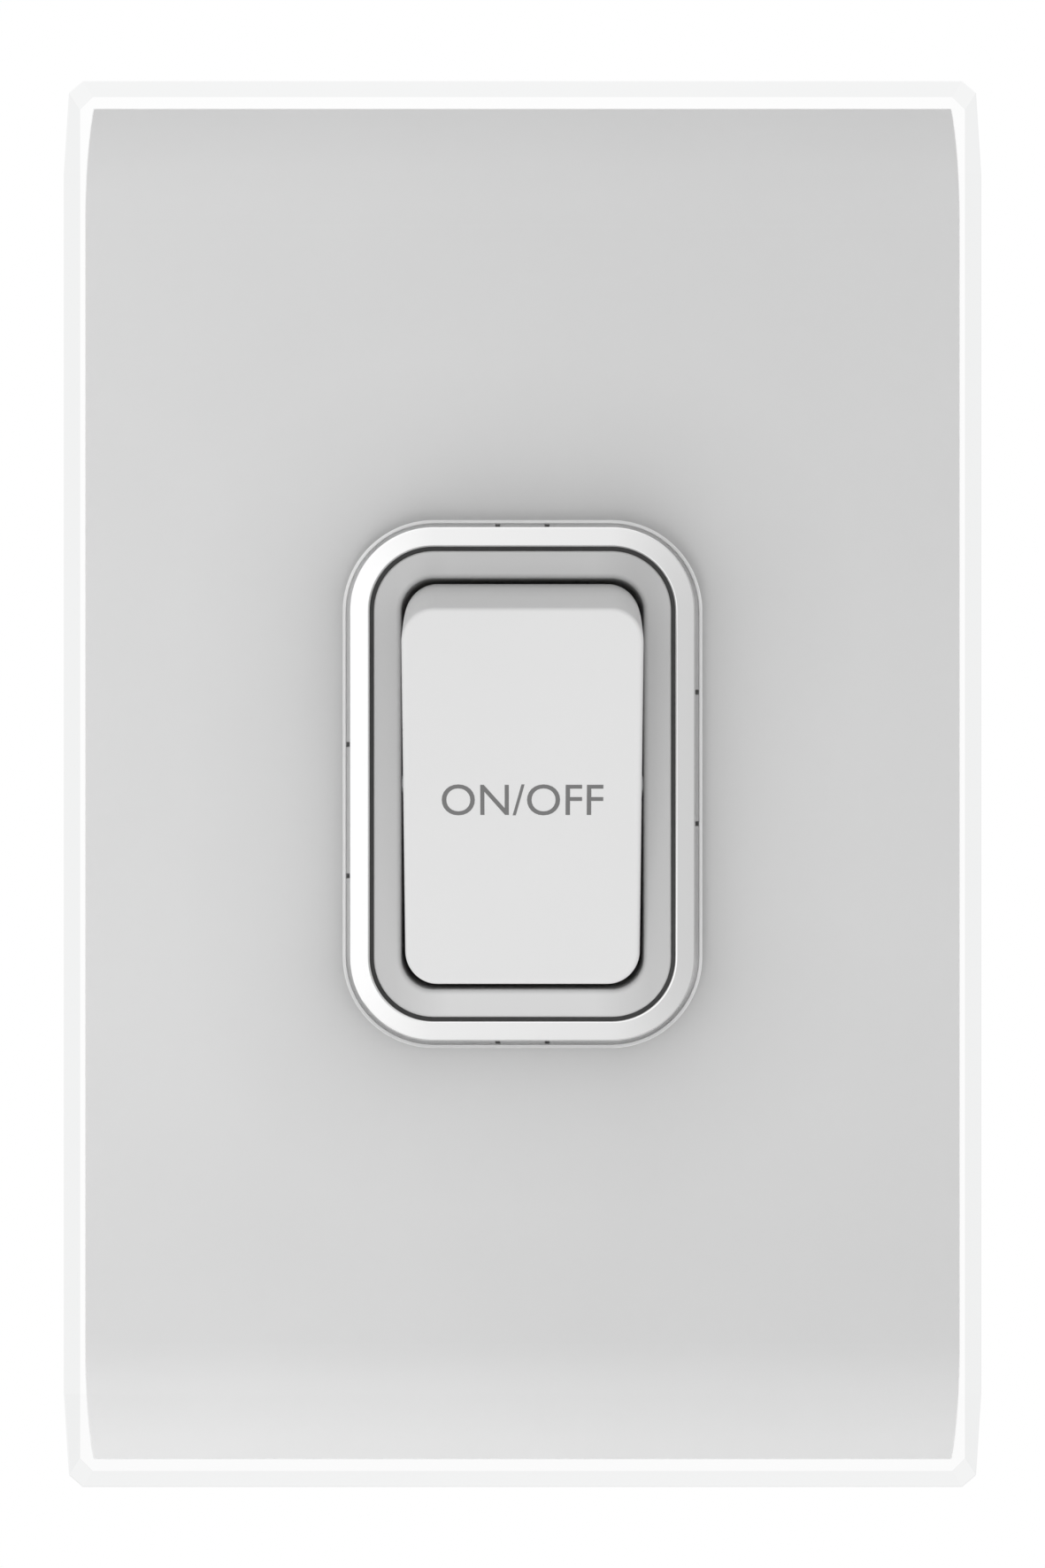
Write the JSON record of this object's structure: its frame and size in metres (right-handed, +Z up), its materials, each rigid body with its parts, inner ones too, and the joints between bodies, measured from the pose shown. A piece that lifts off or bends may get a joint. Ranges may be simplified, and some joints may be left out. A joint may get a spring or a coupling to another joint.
{
  "type": "cooker switch",
  "caption": "Flush wall switch for a cooker: tall clear-covered plate, trim ring, one large rocker and a double-pole mechanism with tunnel terminals behind.",
  "frame": {"origin": "midway between the two wall fixings, on the wall's surface", "axes": "+Z up, +X to the right seen from the front, +Y into the wall"},
  "size_m": [0.076, 0.0396, 0.118],
  "materials": {
    "clear_plastic": "clear, polished",
    "fascia_grey": "satin light grey moulding",
    "bright_trim": "satin chrome plated",
    "bezel_grey": "fine satin light grey moulding",
    "rocker_white": "smooth white moulding",
    "dolly_nylon": "natural nylon",
    "frame_grey": "glass-filled grey moulding",
    "case_white": "matt white thermoset",
    "base_grey": "dark grey thermoset",
    "zinc_steel": "zinc plated steel",
    "brass": "machined brass",
    "copper": "half-hard copper strip",
    "silver": "silver alloy",
    "acetal": "acetal rod"
  },
  "bodies": {
    "root": {"clear_cover": "clear_plastic", "fascia": "fascia_grey", "trim_ring": "bright_trim", "bezel": "bezel_grey", "pivot_pin": "zinc_steel", "grid_frame": "frame_grey", "mounting_screws": "zinc_steel", "case_screws": "zinc_steel", "mechanism_housing": "case_white", "terminal_base": "base_grey", "base_screws": "zinc_steel", "earth_terminal": "brass", "terminal_screws": "zinc_steel", "terminal_load_left": "brass", "terminal_line_left": "brass", "pivot_bracket_left": "copper", "fixed_contact_left": "copper", "fixed_tip_left": "silver", "terminal_load_right": "brass", "terminal_line_right": "brass", "pivot_bracket_right": "copper", "fixed_contact_right": "copper", "fixed_tip_right": "silver"},
    "rocker": {"rocker_cap": "rocker_white", "rocker_dolly": "dolly_nylon", "plunger_spring_left": "zinc_steel", "plunger_spring_right": "zinc_steel"},
    "plunger_left": {"plunger_left": "acetal"},
    "contact_left": {"contact_arm_left": "copper", "moving_tip_left": "silver"},
    "plunger_right": {"plunger_right": "acetal"},
    "contact_right": {"contact_arm_right": "copper", "moving_tip_right": "silver"}
  },
  "joints": [
    {"name": "rocker_pivot", "type": "hinge", "parent": "root", "child": "rocker", "pos_m": [0, -0.00456, 0], "axis": [1, 0, 0], "range_deg": [-24, 0]},
    {"name": "plunger_slide_left", "type": "slide", "parent": "rocker", "child": "plunger_left", "axis": [0, -0.9781, -0.2079], "range_m": [0, 0.001], "stiffness_N_per_m": 300, "springref_m": -0.003, "deforming": ["plunger_spring_left"]},
    {"name": "contact_tilt_left", "type": "hinge", "parent": "root", "child": "contact_left", "pos_m": [-0.006, 0.01144, 0], "axis": [1, 0, 0], "range_deg": [0, 13.6]},
    {"name": "plunger_slide_right", "type": "slide", "parent": "rocker", "child": "plunger_right", "axis": [0, -0.9781, -0.2079], "range_m": [0, 0.001], "stiffness_N_per_m": 300, "springref_m": -0.003, "deforming": ["plunger_spring_right"]},
    {"name": "contact_tilt_right", "type": "hinge", "parent": "root", "child": "contact_right", "pos_m": [0.006, 0.01144, 0], "axis": [1, 0, 0], "range_deg": [0, 13.6]}
  ],
  "couplings": [
    {"joint": "contact_tilt_left", "follows": "rocker_pivot", "ratio": -0.5666},
    {"joint": "contact_tilt_right", "follows": "rocker_pivot", "ratio": -0.5666}
  ]
}
